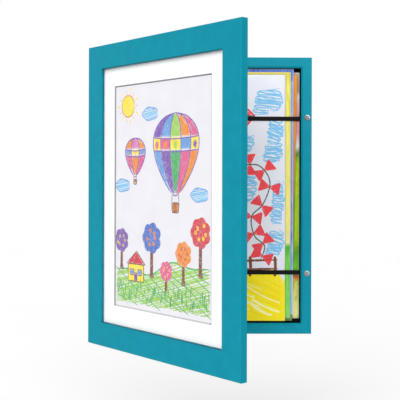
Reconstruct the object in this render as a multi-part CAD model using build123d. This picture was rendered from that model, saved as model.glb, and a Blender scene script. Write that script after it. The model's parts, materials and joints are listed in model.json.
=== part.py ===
from build123d import *
import os
from math import sin

os.makedirs("parts", exist_ok=True)

# Millimetres. The wall is at y = 0, the front faces -Y, and the door is built closed.
# Heights are counted from the middle of the box until the parts are written.

# Overall
door_width = 311.0
door_height = 400.0
door_thickness = 10.0
door_overhang = 11.5
door_gap = 1.2
box_depth = 22.0
rest_opening = 51.7
overrun = 5.0

# Door moulding
door_rail_width = 32.0
front_lip = 4.5
rebate_width = 6.0
front_arris = 1.2
sight_arris = 1.0
back_arris = 0.6

# What the door holds, from front to back
glazing_thickness = 1.0
mat_thickness = 1.2
mat_border = 24.5
display_side_cover = 6.0
display_end_cover = 5.0
display_sheet_thickness = 0.2
backing_thickness = 1.6
insert_clearance = 0.5

# Box moulding, liners and back panel
box_rail_width = 14.5
box_chamfer = 2.2
box_land = 0.5
box_arris = 0.6
liner_thickness = 1.5
panel_thickness = 3.0
panel_recess = 3.0
panel_seat = 7.0
panel_clearance = 0.25

# Stored sheets: five fanned out in front of a squared pack. The shares say how far across and up each of
# the five lies, and the leans are in degrees, clockwise from the front
sheet_side_play = 11.5
sheet_end_play = 5.55
sheet_thickness = 0.35
pack_count = 24
pack_stagger = 0.9
fan_shares = [(-0.83, -0.56), (-0.18, 0.12), (0.14, 0.91), (0.31, -0.17), (0.87, 0.02)]
fan_leans = [0.0, 0.0, 0.0, 1.16, 0.0]

# Elastic straps and their staples
strap_width = 6.0
strap_thickness = 0.9
strap_spacing = 210.3
strap_tail = 7.5
staple_wire = 0.5
staple_crown = 4.6
staple_bite = 3.0
staple_clearance = 0.03

# Hinges
hinge_length = 38.0
hinge_spacing = 260.0
hinge_offset = 2.4
leaf_reach = 13.0
leaf_thickness = 0.9
leaf_mortise = 0.5
leaf_corner = 1.5
leaf_clearance = 0.1
knuckle_radius = 2.0
knuckle_gap = 0.2
knuckle_clearance = 0.3
knuckle_count = 5
pin_radius = 0.95
pin_clearance = 0.05
pin_head_radius = 1.5
pin_head_height = 0.6
leaf_screw_inset = 8.2
leaf_screw_spacing = 13.0

# Screws
screw_clearance = 0.05
screw_tip = 1.5
recess_share = 0.62
recess_width_share = 0.22
recess_depth_share = 0.55
leaf_screw_head = 1.9
leaf_screw_shank = 1.0
box_screw_length = 11.0
door_screw_length = 6.5
strike_screw_head = 2.3
strike_screw_shank = 1.2
strike_screw_length = 7.0
button_screw_head = 2.75
button_screw_head_height = 0.5
button_screw_shank = 1.2
button_screw_length = 7.0

# Magnets on the box and the strike discs that meet them on the door
magnet_radius = 4.0
magnet_height = 3.0
magnet_proud = 0.6
magnet_inset = 6.3
magnet_spacing = 212.6
magnet_clearance = 0.05
strike_radius = 5.0
strike_thickness = 1.2
strike_proud = 0.4
strike_clearance = 0.1

# Turn buttons that keep the picture in the door
button_inset = 21.5
button_radius = 4.5
button_tip_radius = 2.5
button_reach = 12.0
button_spacing = 160.0
button_play = 0.05
pocket_clearance = 0.5

# Nails
corner_nail_thickness = 0.4
corner_nail_depth = 6.0
corner_nail_sink = 0.3
corner_nail_clearance = 0.03
box_nail_inset = 2.4
box_nail_leg = 4.0
door_nail_inset = 8.0
door_nail_leg = 9.0
brad_radius = 0.5
brad_head_radius = 1.0
brad_head_height = 0.3
brad_length = 12.0
brad_inset = 2.6
brad_clearance = 0.03
brad_shares = [-0.86, 0.0, 0.86]

# Sawtooth hangers, one for each way up, and their rivets
hanger_drop = 22.0
hanger_length = 44.0
hanger_height = 9.0
hanger_thickness = 0.8
hanger_lift = 0.9
hanger_foot = 8.0
hanger_ramp = 2.0
hanger_corner = 2.0
notch_depth = 1.6
notch_width = 4.2
notch_pitch = 5.0
notch_count = 5
rivet_radius = 1.2
rivet_bore = 0.7
rivet_head_radius = 2.2
rivet_head_height = 0.5
rivet_clearance = 0.05

# Places that follow from the sizes
box_width = door_width - 2 * door_overhang
box_height = door_height - 2 * door_overhang
box_front = -box_depth
door_back = box_front - door_gap
door_front = door_back - door_thickness
well_width = box_width - 2 * box_rail_width
well_height = box_height - 2 * box_rail_width
panel_rear = -panel_recess
panel_front = panel_rear - panel_thickness
panel_rebate = box_rail_width - panel_seat
liner_front = box_front + box_chamfer + box_land
stored_width = well_width - 2 * sheet_side_play
stored_height = well_height - 2 * sheet_end_play
pack_front = panel_front - pack_count * sheet_thickness
stack_front = pack_front - len(fan_shares) * sheet_thickness
rebate_edge = door_rail_width - rebate_width
insert_width = door_width - 2 * (rebate_edge + insert_clearance)
insert_height = door_height - 2 * (rebate_edge + insert_clearance)
mat_window_width = door_width - 2 * (door_rail_width + mat_border)
mat_window_height = door_height - 2 * (door_rail_width + mat_border)
display_sheet_width = mat_window_width + 2 * display_side_cover
display_sheet_height = mat_window_height + 2 * display_end_cover
glazing_front = door_front + front_lip
mat_front = glazing_front + glazing_thickness
display_front = mat_front + mat_thickness
backing_front = display_front + display_sheet_thickness
pocket_floor = backing_front + backing_thickness
hinge_x = -box_width / 2 - hinge_offset
hinge_y = box_front - door_gap / 2
leaf_offset = door_gap / 2 - (leaf_thickness - leaf_mortise)
knuckle_length = (hinge_length - (knuckle_count - 1) * knuckle_gap) / knuckle_count
magnet_x = box_width / 2 - magnet_inset
notch_height = box_height / 2 - hanger_drop


# A block between two limits on each axis
def block(x, y, z):
    spans = [sorted(limits) for limits in (x, y, z)]
    centre = [(low + high) / 2 for low, high in spans]
    size = [high - low for low, high in spans]
    return Pos(*centre) * Box(*size)


# A span of the given size about a middle
def about(middle, size):
    return (middle - size / 2, middle + size / 2)


# A closed outline with its own radius at each corner
def outline(corners):
    points = [point for point, radius in corners]
    radii = [radius for point, radius in corners]
    return make_face(FilletPolyline(*points, radius=radii, close=True))


# Where the four rails of a frame lie, each drawn along X with its inner edge towards +Z
def rail_places(width, height):
    return {
        "top": (Pos(0, 0, height / 2) * Rot(0, 180, 0), width),
        "bottom": (Pos(0, 0, -height / 2), width),
        "hinge": (Pos(-width / 2, 0, 0) * Rot(0, 90, 0), height),
        "latch": (Pos(width / 2, 0, 0) * Rot(0, -90, 0), height),
    }


box_places = rail_places(box_width, box_height)
door_places = rail_places(door_width, door_height)


# A rail of the given section, drawn in Y and Z, with a 45 degree mitre at each end
def mitred_rail(section, length, width):
    half = length / 2
    reach = width + overrun
    corners = [
        (-half - overrun, -overrun),
        (half + overrun, -overrun),
        (half - reach, reach),
        (reach - half, reach),
    ]
    mitres = Plane.XZ * make_face(Polyline(*corners, close=True))
    through = overrun - door_front
    return extrude(Plane.YZ * section, half, both=True) & extrude(mitres, through, both=True)


def box_section():
    seat = box_rail_width - liner_thickness
    return outline([
        ((0, 0), box_arris),
        ((box_front, 0), box_arris),
        ((box_front, box_rail_width - box_chamfer), 0),
        ((box_front + box_chamfer, box_rail_width), 0),
        ((liner_front, box_rail_width), 0),
        ((liner_front, seat), 0),
        ((panel_front, seat), 0),
        ((panel_front, panel_rebate), 0),
        ((0, panel_rebate), 0),
    ])


def door_section():
    return outline([
        ((door_back, 0), back_arris),
        ((door_front, 0), front_arris),
        ((door_front, door_rail_width), sight_arris),
        ((glazing_front, door_rail_width), 0),
        ((glazing_front, rebate_edge), 0),
        ((door_back, rebate_edge), 0),
    ])


# Screws and nails are drawn with the head's top at the origin and the point towards -Z
def countersunk_screw(head, shank, head_height, length, grow=0):
    body = length - head_height - screw_tip
    shape = Pos(0, 0, -head_height / 2) * Cone(shank + grow, head + grow, head_height)
    shape += Pos(0, 0, -head_height - body / 2) * Cylinder(shank + grow, body)
    return shape + Pos(0, 0, screw_tip / 2 - length) * Cone(grow, shank + grow, screw_tip)


def wafer_screw(head, shank, head_height, length, grow=0):
    body = length - head_height - screw_tip
    shape = Pos(0, 0, -head_height / 2) * Cylinder(head + grow, head_height)
    shape += Pos(0, 0, -head_height - body / 2) * Cylinder(shank + grow, body)
    return shape + Pos(0, 0, screw_tip / 2 - length) * Cone(grow, shank + grow, screw_tip)


# The cross in a screw's head
def cross_recess(head, head_height):
    length = 2 * head * recess_share
    width = 2 * head * recess_width_share
    depth = (-head_height * recess_depth_share, overrun)
    bar = block(about(0, length), about(0, width), depth)
    return bar + Rot(0, 0, 90) * bar


into_wall = Rot(90, 0, 0)
into_front = Rot(-90, 0, 0)


# Each leaf lies beside the axis, towards +X: side is 1 for the box's and -1 for the door's
def leaf_plate(side, start, grow=0):
    depth = (side * leaf_offset, side * (leaf_offset + leaf_thickness))
    plate = block((start, leaf_reach + grow), depth, about(0, hinge_length + 2 * grow))
    ends = plate.edges().filter_by(Axis.Y).group_by(Axis.X)[-1]
    return fillet(ends, leaf_corner)


def leaf_screw_places(side):
    turn = into_wall if side > 0 else into_front
    heights = [step * leaf_screw_spacing for step in (-1, 0, 1)]
    return [Pos(leaf_screw_inset, side * leaf_offset, z) * turn for z in heights]


def leaf_screw(length, grow=0):
    return countersunk_screw(leaf_screw_head, leaf_screw_shank, leaf_thickness, length, grow)


def hinge_leaf(side, length):
    across = (0, knuckle_radius + knuckle_clearance)
    leaf = leaf_plate(side, across[1])
    first = 0 if side > 0 else 1
    depth = (side * leaf_offset, side * (leaf_offset + leaf_thickness))
    for knuckle in range(first, knuckle_count, 2):
        start = knuckle * (knuckle_length + knuckle_gap) - hinge_length / 2
        middle = start + knuckle_length / 2
        leaf += Pos(0, 0, middle) * Cylinder(knuckle_radius, knuckle_length)
        leaf += block(across, depth, about(middle, knuckle_length))
    leaf -= Cylinder(pin_radius + pin_clearance, hinge_length + overrun)
    for place in leaf_screw_places(side):
        leaf -= place * leaf_screw(length, screw_clearance)
    return leaf


def hinge_pin():
    pin = Cylinder(pin_radius, hinge_length + 2 * pin_clearance)
    for end in (-1, 1):
        middle = end * (hinge_length / 2 + pin_clearance + pin_head_height / 2)
        pin += Pos(0, 0, middle) * Cylinder(pin_head_radius, pin_head_height)
    return pin


hinge_places = {
    "upper": Pos(hinge_x, hinge_y, hinge_spacing / 2),
    "lower": Pos(hinge_x, hinge_y, -hinge_spacing / 2),
}


def leaf_screws(side, length):
    screw = leaf_screw(length) - cross_recess(leaf_screw_head, leaf_thickness)
    return [
        hinge * place * screw
        for hinge in hinge_places.values()
        for place in leaf_screw_places(side)
    ]


# The cuts that one hinge makes in the wood under a leaf
def leaf_cuts(side, length):
    cut = leaf_plate(side, 0, leaf_clearance)
    for place in leaf_screw_places(side):
        cut += place * leaf_screw(length, screw_clearance)
    return cut


def knuckle_groove():
    length = hinge_length + 2 * (pin_head_height + pin_clearance + knuckle_clearance)
    return Cylinder(knuckle_radius + knuckle_clearance, length)


# L-shaped nails across the mitres, driven from the face at y towards -Y
def corner_nails(width, height, inset, leg, face, grow=0):
    depth = (face - corner_nail_sink, face - corner_nail_sink - corner_nail_depth - grow)
    if grow:
        depth = (face + overrun, depth[1])
    nails = []
    for across in (-1, 1):
        for up in (-1, 1):
            x = across * (width / 2 - inset + grow)
            z = up * (height / 2 - inset + grow)
            thick = corner_nail_thickness + 2 * grow
            long = leg + 2 * grow
            nail = block((x, x - across * long), depth, (z, z - up * thick))
            nails.append(nail + block((x, x - across * thick), depth, (z, z - up * long)))
    return nails


box_nail_sizes = (box_width, box_height, box_nail_inset, box_nail_leg, 0)
door_nail_sizes = (door_width, door_height, door_nail_inset, door_nail_leg, door_back)


def brad(grow=0):
    shape = Pos(0, 0, -brad_head_height / 2) * Cylinder(brad_head_radius + grow, brad_head_height)
    body = brad_length + grow
    return shape + Pos(0, 0, -body / 2) * Cylinder(brad_radius + grow, body)


def brad_places():
    half_width = box_width / 2 - panel_rebate - panel_clearance - brad_inset
    half_height = box_height / 2 - panel_rebate - panel_clearance - brad_inset
    rows = [(share * half_width, end * half_height) for share in brad_shares for end in (-1, 1)]
    rows += [(end * half_width, share * half_height / 2) for share in (-1, 1) for end in (-1, 1)]
    return [Pos(x, panel_rear, z) * into_front for x, z in rows]


def magnet_places():
    return {
        "upper": Pos(magnet_x, 0, magnet_spacing / 2),
        "lower": Pos(magnet_x, 0, -magnet_spacing / 2),
    }


def disc(radius, near, far):
    return Pos(0, (near + far) / 2, 0) * Rot(90, 0, 0) * Cylinder(radius, abs(far - near))


magnet_front = box_front - magnet_proud
magnet_rear = magnet_front + magnet_height
strike_rear = door_back + strike_proud
strike_front = strike_rear - strike_thickness


def strike_screw(grow=0):
    sizes = (strike_screw_head, strike_screw_shank, strike_thickness, strike_screw_length)
    return Pos(0, strike_rear, 0) * into_front * countersunk_screw(*sizes, grow)


def strike_plate():
    return disc(strike_radius, strike_front, strike_rear) - strike_screw(screw_clearance)


# Staples hold each strap's tail to the side of the well
staple_y = panel_front - strap_tail / 2
strap_heights = {"upper": strap_spacing / 2, "lower": -strap_spacing / 2}


def staple(side, height, grow=0):
    face = side * (well_width / 2 - strap_thickness)
    wire = staple_wire + 2 * grow
    tip = face + side * (strap_thickness + liner_thickness + staple_bite + grow)
    crown = (face - side * staple_wire, face)
    shape = block(crown, about(staple_y, wire), about(height, staple_crown + 2 * grow))
    leg = (staple_crown - staple_wire) / 2
    for end in (-1, 1):
        shape += block((face, tip), about(staple_y, wire), about(height + end * leg, wire))
    return shape


def all_staples(grow=0):
    return [staple(side, z, grow) for side in (-1, 1) for z in strap_heights.values()]


def strap(height):
    half = well_width / 2
    front = stack_front - strap_thickness
    tail = staple_y + strap_tail / 4
    inner = half - strap_thickness
    band = outline([
        ((-half, tail), 0),
        ((-half, front), strap_thickness),
        ((half, front), strap_thickness),
        ((half, tail), 0),
        ((inner, tail), 0),
        ((inner, stack_front), 0),
        ((-inner, stack_front), 0),
        ((-inner, tail), 0),
    ])
    return Pos(0, 0, height) * extrude(band, strap_width / 2, both=True)


# Everything that is cut out of the box's rails
def box_cuts():
    cuts = list(corner_nails(*box_nail_sizes, corner_nail_clearance))
    cuts += [place * brad(brad_clearance) for place in brad_places()]
    cuts += [place * leaf_cuts(1, box_screw_length) for place in hinge_places.values()]
    pocket = disc(magnet_radius + magnet_clearance, box_front - overrun, magnet_rear)
    cuts += [place * pocket for place in magnet_places().values()]
    return cuts + all_staples(staple_clearance)


def cut_all(shape, cuts):
    for cut in cuts:
        shape -= cut
    return shape


def box_rails():
    cuts = box_cuts()
    return {
        side: cut_all(place * mitred_rail(box_section(), length, box_rail_width), cuts)
        for side, (place, length) in box_places.items()
    }


def liners():
    depth = (panel_front, liner_front)
    half_width = well_width / 2
    half_height = well_height / 2
    whole = about(0, well_width + 2 * liner_thickness)
    strips = {
        "top": block(whole, depth, (half_height, half_height + liner_thickness)),
        "bottom": block(whole, depth, (-half_height, -half_height - liner_thickness)),
        "hinge_side": block((-half_width, -half_width - liner_thickness), depth, about(0, well_height)),
        "latch_side": block((half_width, half_width + liner_thickness), depth, about(0, well_height)),
    }
    return {name: cut_all(strip, all_staples(staple_clearance)) for name, strip in strips.items()}


# A hanger is drawn upright, with the nail's place in its middle notch at the origin
def sawtooth_hanger():
    half = hanger_length / 2
    flat = half - hanger_foot
    raised = flat - hanger_ramp
    near = [(-half, 0), (-flat, 0), (-raised, hanger_lift), (raised, hanger_lift), (flat, 0), (half, 0)]
    far = [(x, y + hanger_thickness) for x, y in reversed(near)]
    strip = make_face(Polyline(*near, *far, close=True))
    plate = Pos(0, panel_rear, -notch_depth) * extrude(strip, hanger_height)
    ends = plate.edges().filter_by(Axis.Y).group_by(Axis.X)
    plate = fillet(ends[0] + ends[-1], hanger_corner)
    slope = notch_width / 2 / notch_depth
    wide = slope * (notch_depth + overrun)
    below = -notch_depth - overrun
    tooth = make_face(Polyline((0, 0), (wide, below), (-wide, below), close=True))
    notch = extrude(Plane.XZ * tooth, box_depth, both=True)
    gap = block(about(0, notch_width), about(0, box_depth), (-notch_depth - overrun, 0))
    for step in range(notch_count):
        x = (step - (notch_count - 1) / 2) * notch_pitch
        plate -= Pos(x, 0, 0) * (notch & gap)
    for place in rivet_places():
        plate -= place * disc(rivet_radius + rivet_clearance, panel_front, 0)
    return plate


def rivet_places():
    x = hanger_length / 2 - hanger_foot / 2
    z = hanger_height / 2 - notch_depth
    return [Pos(-x, 0, z), Pos(x, 0, z)]


def rivet():
    seat = panel_rear + hanger_thickness
    shape = disc(rivet_radius, panel_front, seat)
    shape += disc(rivet_head_radius, seat, seat + rivet_head_height)
    shape += disc(rivet_head_radius, panel_front, panel_front + rivet_head_height)
    return shape - disc(rivet_bore, panel_front - overrun, seat)


# What a rivet takes out of the panel, with a counterbore that keeps the inside flat
def rivet_cut():
    shape = disc(rivet_radius + rivet_clearance, panel_front, panel_rear)
    sunk = panel_front + rivet_head_height
    return shape + disc(rivet_head_radius + rivet_clearance, panel_front, sunk)


hanger_places = {
    "portrait": Pos(0, 0, notch_height),
    "landscape": Pos(hanger_drop - box_width / 2, 0, 0) * Rot(0, -90, 0),
}


def back_panel():
    width = box_width - 2 * (panel_rebate + panel_clearance)
    height = box_height - 2 * (panel_rebate + panel_clearance)
    panel = block(about(0, width), (panel_front, panel_rear), about(0, height))
    cuts = [place * brad(brad_clearance) for place in brad_places()]
    cuts += [place * spot * rivet_cut() for place in hanger_places.values() for spot in rivet_places()]
    return cut_all(panel, cuts)


def sheet(x, front, z):
    return block(about(x, stored_width), (front, front + sheet_thickness), about(z, stored_height))


def fanned_sheets():
    sheets = []
    for order, ((across, up), lean) in enumerate(zip(fan_shares, fan_leans)):
        place = Pos(across * sheet_side_play, stack_front + order * sheet_thickness, up * sheet_end_play)
        sheets.append(place * Rot(0, lean, 0) * sheet(0, 0, 0))
    return sheets


# The squared pack, each sheet a little out of line with the next
def pack():
    sheets = []
    for order in range(pack_count):
        x = pack_stagger * sin(order * order)
        z = pack_stagger * sin(order * order + order)
        sheets.append(sheet(x, pack_front + order * sheet_thickness, z))
    return sheets


# Turn buttons are placed along a rail, at its own X, and reach past its inner edge
button_places = {
    "hinge_upper": ("hinge", -button_spacing / 2),
    "hinge_lower": ("hinge", button_spacing / 2),
    "latch_upper": ("latch", button_spacing / 2),
    "latch_lower": ("latch", -button_spacing / 2),
    "top": ("top", 0),
    "bottom": ("bottom", 0),
}


def button_place(name):
    side, along = button_places[name]
    return door_places[side][0] * Pos(along, 0, button_inset)


def button_screw(grow=0):
    sizes = (button_screw_head, button_screw_shank, button_screw_head_height, button_screw_length)
    return Pos(0, door_back, 0) * into_front * wafer_screw(*sizes, grow)


def turn_button():
    near = pocket_floor + button_play
    far = door_back - button_screw_head_height - button_play
    tip = button_reach - button_tip_radius
    rounds = Circle(button_radius) + Pos(0, tip) * Circle(button_tip_radius)
    shape = Pos(0, far, 0) * extrude(Plane.XZ * make_hull(rounds.edges()), far - near)
    return shape - button_screw(screw_clearance)


# The pocket lets a button lie across the rebate or turned along the rail
def button_pocket():
    along = (-button_radius - pocket_clearance, button_reach + pocket_clearance)
    across = (-button_radius - pocket_clearance, rebate_edge - button_inset + overrun)
    return block(along, (pocket_floor, door_back + overrun), across)


def door_cuts():
    cuts = list(corner_nails(*door_nail_sizes, corner_nail_clearance))
    for place in hinge_places.values():
        cuts.append(place * leaf_cuts(-1, door_screw_length))
        cuts.append(place * knuckle_groove())
    for name in button_places:
        cuts.append(button_place(name) * button_pocket())
        cuts.append(button_place(name) * button_screw(screw_clearance))
    recess = disc(strike_radius + strike_clearance, strike_front, door_back + overrun)
    for place in magnet_places().values():
        cuts.append(place * recess)
        cuts.append(place * strike_screw(screw_clearance))
    return cuts


def door_rails():
    cuts = door_cuts()
    return {
        side: cut_all(place * mitred_rail(door_section(), length, door_rail_width), cuts)
        for side, (place, length) in door_places.items()
    }


def insert(front, thickness):
    return block(about(0, insert_width), (front, front + thickness), about(0, insert_height))


# The mat's window has a 45 degree bevel that opens towards the front
def mat_board():
    window = Rectangle(mat_window_width, mat_window_height)
    behind = Rectangle(mat_window_width - 2 * mat_thickness, mat_window_height - 2 * mat_thickness)
    ahead = Rectangle(mat_window_width + 2 * overrun, mat_window_height + 2 * overrun)
    after = mat_front + mat_thickness
    bevel = loft([
        Plane((0, mat_front - overrun, 0), x_dir=(1, 0, 0), z_dir=(0, -1, 0)) * ahead,
        Plane((0, mat_front, 0), x_dir=(1, 0, 0), z_dir=(0, -1, 0)) * window,
        Plane((0, after, 0), x_dir=(1, 0, 0), z_dir=(0, -1, 0)) * behind,
    ], ruled=True)
    return insert(mat_front, mat_thickness) - bevel


def display_sheet():
    depth = (display_front, backing_front)
    return block(about(0, display_sheet_width), depth, about(0, display_sheet_height))


# The two upright rails of each frame are called stiles
def rail_name(side):
    return side + ("_stile" if side in ("hinge", "latch") else "_rail")


# Fixed parts
box_parts = {"box_" + rail_name(side): rail for side, rail in box_rails().items()}
box_parts["box_back_panel"] = back_panel()
for name, strip in liners().items():
    box_parts["liner_" + name] = strip
for name, height in strap_heights.items():
    box_parts["strap_" + name] = cut_all(strap(height), all_staples(staple_clearance))
box_parts["strap_staples"] = all_staples()
for name, place in magnet_places().items():
    box_parts["latch_magnet_" + name] = place * disc(magnet_radius, magnet_front, magnet_rear)
for name, place in hinge_places.items():
    box_parts["hinge_" + name + "_box_leaf"] = place * hinge_leaf(1, box_screw_length)
    box_parts["hinge_" + name + "_pin"] = place * hinge_pin()
box_parts["hinge_screws_box"] = leaf_screws(1, box_screw_length)
box_parts["back_panel_brads"] = [place * brad() for place in brad_places()]
box_parts["box_corner_nails"] = corner_nails(*box_nail_sizes)
for name, place in hanger_places.items():
    box_parts["sawtooth_hanger_" + name] = place * sawtooth_hanger()
box_parts["hanger_rivets"] = [
    place * spot * rivet() for place in hanger_places.values() for spot in rivet_places()
]
for order, one in enumerate(fanned_sheets()):
    box_parts["stored_sheet_" + str(order + 1)] = one
box_parts["sheet_pack"] = pack()

# Parts that swing with the door
door_parts = {"door_" + rail_name(side): rail for side, rail in door_rails().items()}
door_parts["glazing_sheet"] = insert(glazing_front, glazing_thickness)
door_parts["mat_board"] = mat_board()
door_parts["display_sheet"] = display_sheet()
door_parts["door_backing_board"] = insert(backing_front, backing_thickness)
for name in button_places:
    door_parts["turn_button_" + name] = button_place(name) * turn_button()
cross = Pos(0, door_back, 0) * into_front * cross_recess(button_screw_head, button_screw_head_height)
door_parts["turn_button_screws"] = [
    button_place(name) * (button_screw() - cross) for name in button_places
]
cross = Pos(0, strike_rear, 0) * into_front * cross_recess(strike_screw_head, strike_thickness)
for name, place in magnet_places().items():
    door_parts["strike_plate_" + name] = place * strike_plate()
door_parts["strike_screws"] = [place * (strike_screw() - cross) for place in magnet_places().values()]
for name, place in hinge_places.items():
    door_parts["hinge_" + name + "_door_leaf"] = place * hinge_leaf(-1, door_screw_length)
door_parts["hinge_screws_door"] = leaf_screws(-1, door_screw_length)
door_parts["door_corner_nails"] = corner_nails(*door_nail_sizes)

# The door stands open at rest, and the origin is the middle notch of the portrait hanger
from_hanger = Pos(0, 0, -notch_height)
opened = Pos(hinge_x, hinge_y, 0) * Rot(0, 0, -rest_opening) * Pos(-hinge_x, -hinge_y, 0)


def write(name, shape, place):
    solids = shape if isinstance(shape, list) else [shape]
    placed = [place * solid for one in solids for solid in one.solids()]
    export_step(Compound(children=placed), "parts/" + name + ".step")


for name, shape in box_parts.items():
    write(name, shape, from_hanger)
for name, shape in door_parts.items():
    write(name, shape, from_hanger * opened)
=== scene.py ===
import json
import random
from math import atan2, cos, degrees, exp, pi, radians, sin, tau

import bmesh
import bpy
from mathutils import Matrix, Vector


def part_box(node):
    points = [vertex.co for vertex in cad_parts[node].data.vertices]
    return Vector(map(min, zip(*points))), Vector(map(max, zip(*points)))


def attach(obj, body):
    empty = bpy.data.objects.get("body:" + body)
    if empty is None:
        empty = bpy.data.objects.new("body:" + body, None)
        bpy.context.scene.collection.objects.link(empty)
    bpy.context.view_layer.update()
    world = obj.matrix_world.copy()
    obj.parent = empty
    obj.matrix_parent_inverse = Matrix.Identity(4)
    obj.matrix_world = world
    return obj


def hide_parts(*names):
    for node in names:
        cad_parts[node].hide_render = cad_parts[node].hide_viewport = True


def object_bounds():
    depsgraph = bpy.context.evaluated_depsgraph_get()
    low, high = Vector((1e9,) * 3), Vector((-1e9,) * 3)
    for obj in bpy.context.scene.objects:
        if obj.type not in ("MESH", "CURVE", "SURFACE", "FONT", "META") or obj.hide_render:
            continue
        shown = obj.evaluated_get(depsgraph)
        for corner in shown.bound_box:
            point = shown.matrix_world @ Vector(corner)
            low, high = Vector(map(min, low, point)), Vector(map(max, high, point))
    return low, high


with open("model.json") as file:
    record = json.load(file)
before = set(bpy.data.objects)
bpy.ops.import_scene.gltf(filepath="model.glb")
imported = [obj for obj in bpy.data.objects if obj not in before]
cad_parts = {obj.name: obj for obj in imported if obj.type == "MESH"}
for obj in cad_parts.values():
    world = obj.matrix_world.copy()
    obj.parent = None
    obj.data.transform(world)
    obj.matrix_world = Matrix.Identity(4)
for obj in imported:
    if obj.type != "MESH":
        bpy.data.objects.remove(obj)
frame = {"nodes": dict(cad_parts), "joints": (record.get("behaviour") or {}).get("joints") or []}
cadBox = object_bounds()
nodes = frame["nodes"]
mm = 0.001
print("frame loaded:", len(nodes), "pieces")


# Where things lie. The door is drawn shut and turned open on its hinge afterwards
doorHinge = next(joint for joint in frame["joints"] if joint["name"] == "door_hinge")
hingePoint = Matrix.Translation(doorHinge["pos_m"])
openDegrees = doorHinge["range_deg"][0]
opened = hingePoint @ Matrix.Rotation(radians(openDegrees), 4, "Z") @ hingePoint.inverted()
shut = opened.inverted()


# Lowest and highest corner of some pieces, once turned
def corners(names, turned=Matrix()):
    points = [turned @ vertex.co for name in names for vertex in nodes[name].data.vertices]
    return Vector(map(min, zip(*points))), Vector(map(max, zip(*points)))


def railsOf(body):
    return [name for name in nodes if name.startswith(body) and name.endswith(("_rail", "_stile"))]


boxLow, boxHigh = corners(railsOf("box_"))
doorLow, doorHigh = corners(railsOf("door_"), shut)
middleHeight = (boxLow.z + boxHigh.z) / 2
boxFromMiddle = Matrix.Translation((0, 0, -middleHeight))  # places are drawn about the middle of the box
doorFromMiddle = boxFromMiddle @ shut
doorMiddle = Matrix.Translation((-(doorLow.x + doorHigh.x) / 2, 0, 0)) @ doorFromMiddle


# The camera stands where the photograph was taken from
photographView = {
    "place": (-0.02706, -1.23767, -0.14080),
    "turnDegrees": -0.865,
    "rollDegrees": 0.155,
    "sensor": 36,
    "lens": 80.34,
    "shift": (0.0006, -0.05858),
}


# Puts a piece, lamp or camera in the scene
def linked(name, data):
    piece = bpy.data.objects.new(name, data)
    bpy.context.scene.collection.objects.link(piece)
    return piece


def placeCamera(values):
    camera = linked("camera", bpy.data.cameras.new("camera"))
    camera.location = values["place"]
    camera.rotation_euler = [radians(turn) for turn in (90, -values["rollDegrees"], values["turnDegrees"])]
    camera.data.sensor_width, camera.data.lens = values["sensor"], values["lens"]
    camera.data.shift_x, camera.data.shift_y = values["shift"]
    bpy.context.scene.camera = camera


placeCamera(photographView)
bpy.context.scene.view_settings.view_transform = "Standard"
print("camera placed")


# A shade of three screen values from 0 to 255, as the linear colour that a socket takes
def linear(shade, strength=1.0):
    parts = [value / 255 for value in shade]
    parts = [part / 12.92 if part <= 0.04045 else ((part + 0.055) / 1.055) ** 2.4 for part in parts]
    return (*[part * strength for part in parts], 1.0)


# The maths node that a sum of wires stands for
def sumOf(operation):
    return lambda wire, other=0.0: wire.bench.maths(operation, wire, other)


class Wire:  # one output of a node, which can stand in a sum
    __add__ = __radd__ = sumOf("ADD")
    __mul__ = __rmul__ = sumOf("MULTIPLY")
    __sub__, __truediv__, __pow__ = sumOf("SUBTRACT"), sumOf("DIVIDE"), sumOf("POWER")
    __abs__, __round__ = sumOf("ABSOLUTE"), sumOf("ROUND")
    above, below = sumOf("MAXIMUM"), sumOf("MINIMUM")
    root, sign, sine, cosine = sumOf("SQRT"), sumOf("SIGN"), sumOf("SINE"), sumOf("COSINE")

    def __init__(self, bench, socket):
        self.bench, self.socket = bench, socket

    def __rsub__(self, other):
        return self.bench.maths("SUBTRACT", other, self)

    def other(self, name):
        return Wire(self.bench, self.socket.node.outputs[name])


class Bench:  # a node tree, and the one way that nodes are put in it
    family = "ShaderNode"

    def __init__(self, tree):
        self.tree = tree
        tree.nodes.clear()

    # A kind without the word Node is one of the bench's own family. Colour sockets take shades
    def add(self, kind, sockets=None, settings=None, output=0):
        node = self.tree.nodes.new(kind if "Node" in kind else self.family + kind)
        for name, value in (settings or {}).items():
            setattr(node, name, value)
        for key, value in (sockets or {}).items():
            socket = node.inputs[key]
            if isinstance(value, Wire):
                self.tree.links.new(value.socket, socket)
            else:
                socket.default_value = linear(value) if socket.type == "RGBA" and len(value) == 3 else value
        return Wire(self, node.outputs[output]) if node.outputs else None

    def maths(self, operation, first, second=0.0):
        return self.add("ShaderNodeMath", {0: first, 1: second}, {"operation": operation})

    def vector(self, operation, first, second=(0, 0, 0)):
        sockets = {0: first, 3 if operation == "SCALE" else 1: second}
        return self.add("ShaderNodeVectorMath", sockets, {"operation": operation})

    def apart(self, point):
        parts = self.add("ShaderNodeSeparateXYZ", {"Vector": point})
        return [parts.other(axis) for axis in "XYZ"]

    def joined(self, x=0.0, y=0.0, z=0.0):
        return self.add("ShaderNodeCombineXYZ", {"X": x, "Y": y, "Z": z})

    def noise(self, point, scale, detail=2.0, rough=0.5, seed=None):
        sockets = {"Vector": point, "Scale": scale, "Detail": detail, "Roughness": rough}
        if seed is None:
            return self.add("ShaderNodeTexNoise", sockets)
        return self.add("ShaderNodeTexNoise", {"W": seed, **sockets}, {"noise_dimensions": "4D"})


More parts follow.
